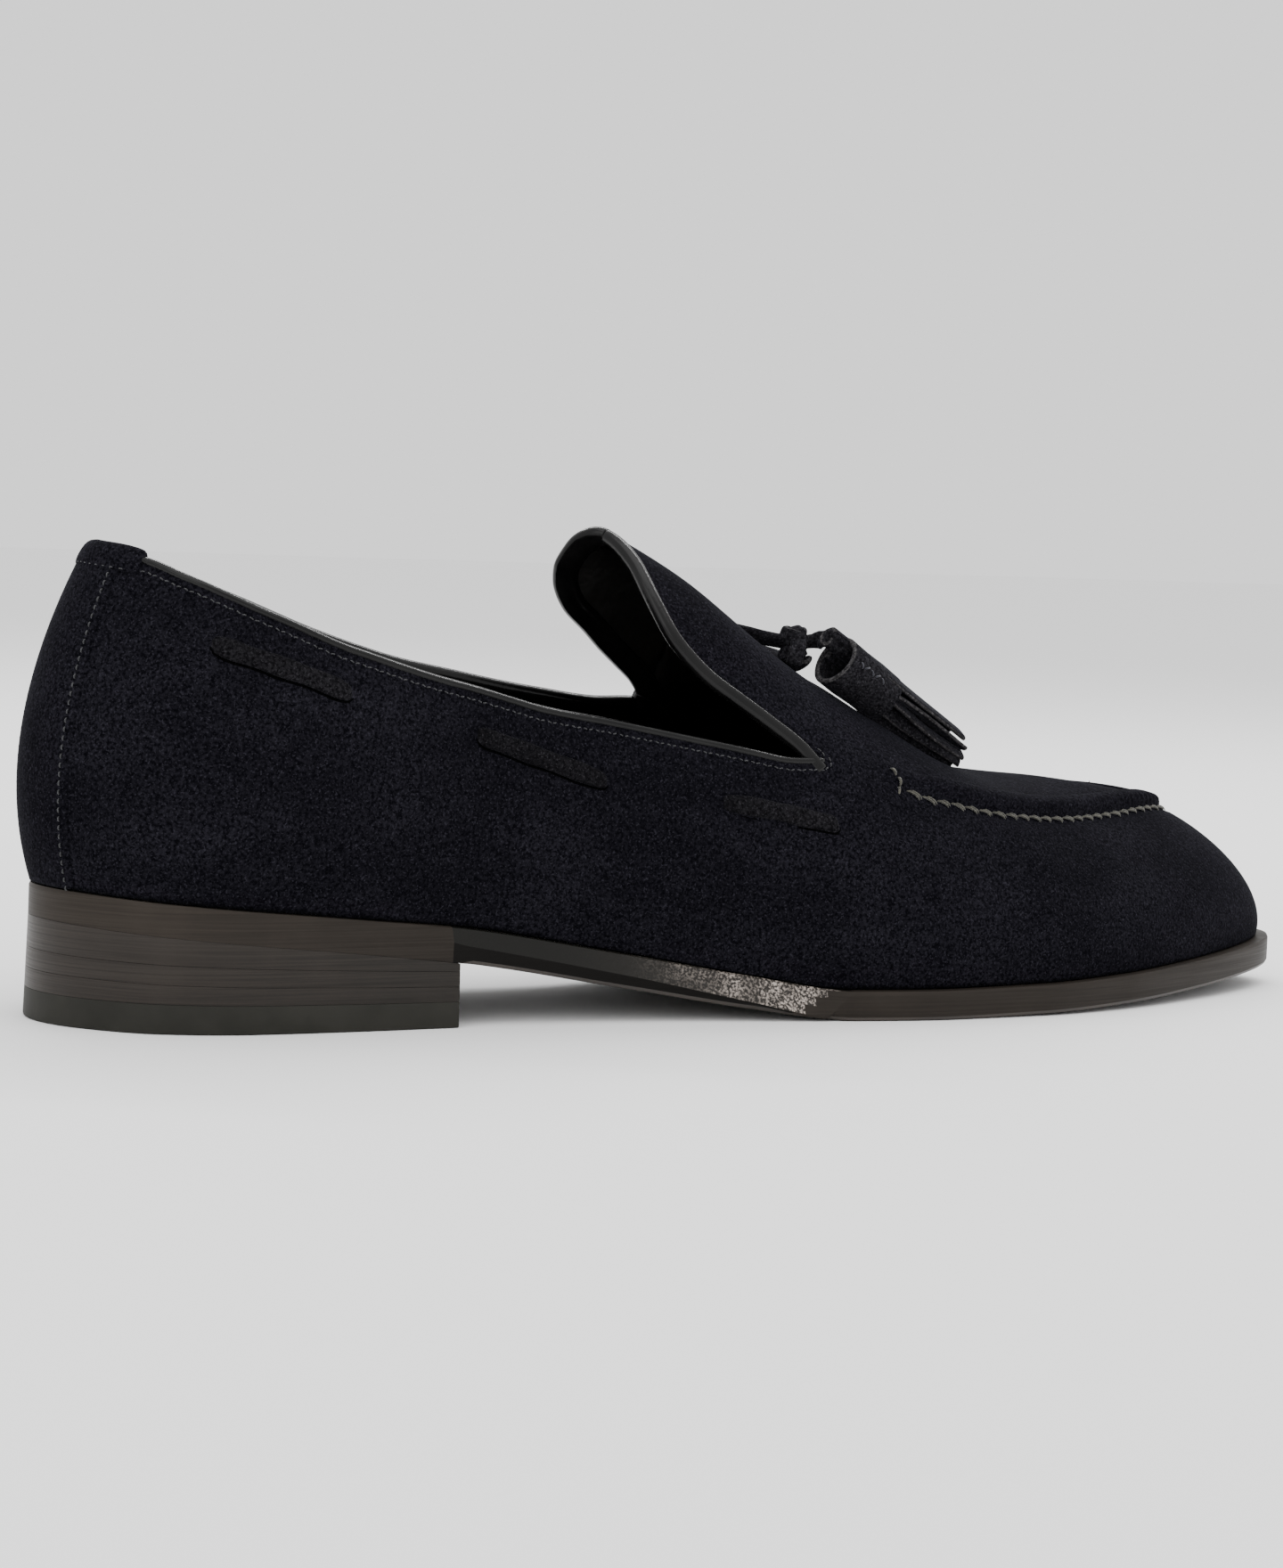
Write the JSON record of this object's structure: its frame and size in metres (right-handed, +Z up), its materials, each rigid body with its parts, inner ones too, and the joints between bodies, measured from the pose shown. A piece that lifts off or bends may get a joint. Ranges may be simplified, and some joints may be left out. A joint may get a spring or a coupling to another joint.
{
  "type": "tassel loafer",
  "caption": "Slip-on loafer for the right foot with a raised apron seam, bound collar and tongue, two tassels, side laces, a leather sole and a low stacked heel.",
  "frame": {"origin": "the middle of the heel's bottom face, on the floor", "axes": "+X from the heel to the toe, +Y to the medial side, +Z up"},
  "size_m": [0.3032, 0.0958, 0.0995],
  "materials": {
    "upper": "napped suede",
    "outsole": "polished edge",
    "insole": "smooth",
    "heel_top_piece": "matt",
    "heel_lift_1": "polished edge",
    "heel_lift_2": "polished edge",
    "heel_wedge": "polished edge",
    "backstay": "napped suede",
    "heel_tab": "napped suede",
    "collar_binding_lateral": "glossy",
    "collar_binding_medial": "glossy",
    "tongue_binding": "glossy",
    "side_lace_lateral_1": "napped suede",
    "side_lace_lateral_2": "napped suede",
    "side_lace_lateral_3": "napped suede",
    "side_lace_medial_1": "napped suede",
    "side_lace_medial_2": "napped suede",
    "side_lace_medial_3": "napped suede",
    "thong_vamp_lateral": "matt",
    "thong_tassel_lateral": "matt",
    "thong_vamp_medial": "matt",
    "thong_tassel_medial": "matt",
    "knot": "matt",
    "tassel_lateral": "matt",
    "tassel_medial": "matt"
  },
  "bodies": {
    "root": {"upper": "upper", "outsole": "outsole", "insole": "insole", "heel_top_piece": "heel_top_piece", "heel_lift_1": "heel_lift_1", "heel_lift_2": "heel_lift_2", "heel_wedge": "heel_wedge", "backstay": "backstay", "heel_tab": "heel_tab", "collar_binding_lateral": "collar_binding_lateral", "collar_binding_medial": "collar_binding_medial", "tongue_binding": "tongue_binding", "side_lace_lateral_1": "side_lace_lateral_1", "side_lace_lateral_2": "side_lace_lateral_2", "side_lace_lateral_3": "side_lace_lateral_3", "side_lace_medial_1": "side_lace_medial_1", "side_lace_medial_2": "side_lace_medial_2", "side_lace_medial_3": "side_lace_medial_3", "thong_vamp_lateral": "thong_vamp_lateral", "thong_tassel_lateral": "thong_tassel_lateral", "thong_vamp_medial": "thong_vamp_medial", "thong_tassel_medial": "thong_tassel_medial", "knot": "knot", "tassel_lateral": "tassel_lateral", "tassel_medial": "tassel_medial"}
  },
  "joints": []
}
